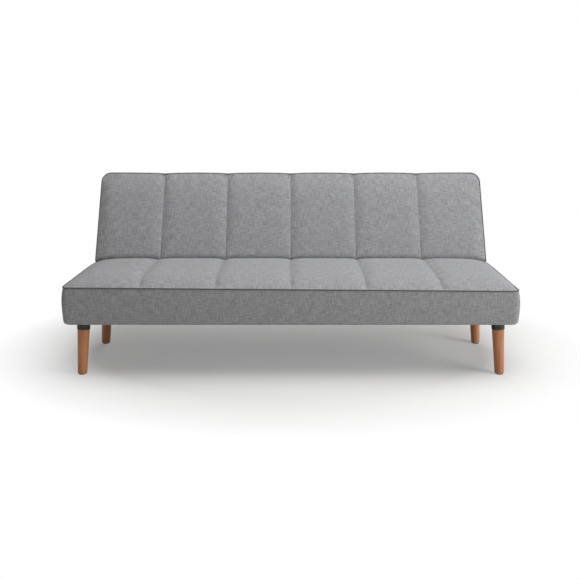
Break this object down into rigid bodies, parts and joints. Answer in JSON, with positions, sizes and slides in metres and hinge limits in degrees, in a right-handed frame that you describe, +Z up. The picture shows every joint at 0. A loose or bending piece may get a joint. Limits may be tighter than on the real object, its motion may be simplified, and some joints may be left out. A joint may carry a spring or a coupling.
{
  "type": "click clack sofa bed",
  "caption": "Armless sofa bed with a channelled grey woven seat and a hinged backrest that folds flat, on splayed tapered wooden legs.",
  "frame": {"origin": "centre of the footprint, on the floor under the feet", "axes": "+X to the right as one faces the sofa, +Y from the front edge to the rear, +Z up"},
  "size_m": [1.8064, 1.033, 0.7639],
  "materials": {
    "grey_weave": "woven, slubby",
    "foam": "open cell",
    "wadding": "soft",
    "elastic_webbing": "woven tape",
    "felt": "needled",
    "dust_cloth": "spunbond",
    "frame_wood": "sawn",
    "warm_wood": "satin varnish",
    "black_plastic": "matte",
    "glide_nylon": "matte",
    "black_steel": "powder coat",
    "spring_steel": "oiled",
    "zinc_steel": "zinc plated"
  },
  "bodies": {
    "seat": {"hinge_rivet_left": "zinc_steel", "hinge_rivet_right": "zinc_steel", "hinge_seat_coach_screws": "zinc_steel", "hinge_seat_plate_left": "black_steel", "hinge_seat_plate_right": "black_steel", "hinge_washer_left": "zinc_steel", "hinge_washer_right": "zinc_steel", "leg_collars": "black_plastic", "leg_front_left": "warm_wood", "leg_front_right": "warm_wood", "leg_glides": "glide_nylon", "leg_hanger_bolts": "zinc_steel", "leg_rear_left": "warm_wood", "leg_rear_right": "warm_wood", "leg_threaded_inserts": "zinc_steel", "pawl_pins": "zinc_steel", "pawl_spring_left": "spring_steel", "pawl_spring_right": "spring_steel", "seat_corner_blocks": "frame_wood", "seat_cover": "grey_weave", "seat_dust_cover": "dust_cloth", "seat_end_rail_left": "frame_wood", "seat_end_rail_right": "frame_wood", "seat_foam": "foam", "seat_frame_screws": "zinc_steel", "seat_front_rail": "frame_wood", "seat_rear_rail": "frame_wood", "seat_side_wadding": "wadding", "seat_spring_clips": "zinc_steel", "seat_spring_felt": "felt", "seat_stretchers": "frame_wood", "seat_welt": "grey_weave", "seat_zigzag_springs": "spring_steel"},
    "backrest": {"back_corner_blocks": "frame_wood", "back_cover": "grey_weave", "back_cross_webbing": "elastic_webbing", "back_dust_cover": "dust_cloth", "back_end_rail_left": "frame_wood", "back_end_rail_right": "frame_wood", "back_foam": "foam", "back_frame_screws": "zinc_steel", "back_lower_rail": "frame_wood", "back_side_wadding": "wadding", "back_stretchers": "frame_wood", "back_top_rail": "frame_wood", "back_upright_webbing": "elastic_webbing", "back_welt": "grey_weave", "bed_leg_collars": "black_plastic", "bed_leg_glides": "glide_nylon", "bed_leg_hanger_bolts": "zinc_steel", "bed_leg_left": "warm_wood", "bed_leg_right": "warm_wood", "bed_leg_threaded_inserts": "zinc_steel", "hinge_back_coach_screws": "zinc_steel", "hinge_back_plate_left": "black_steel", "hinge_back_plate_right": "black_steel"},
    "pawl_left": {"pawl_left": "black_steel"},
    "pawl_right": {"pawl_right": "black_steel"}
  },
  "joints": [
    {"name": "back_recline", "type": "hinge", "parent": "seat", "child": "backrest", "pos_m": [0, 0.04641, 0.355], "axis": [1, 0, 0], "range_deg": [-67, 10]},
    {"name": "pawl_left_turn", "type": "hinge", "parent": "seat", "child": "pawl_left", "pos_m": [-0.859, -0.00709, 0.3475], "axis": [1, 0, 0], "range_deg": [0, 12]},
    {"name": "pawl_right_turn", "type": "hinge", "parent": "seat", "child": "pawl_right", "pos_m": [0.859, -0.00709, 0.3475], "axis": [1, 0, 0], "range_deg": [0, 12]}
  ]
}
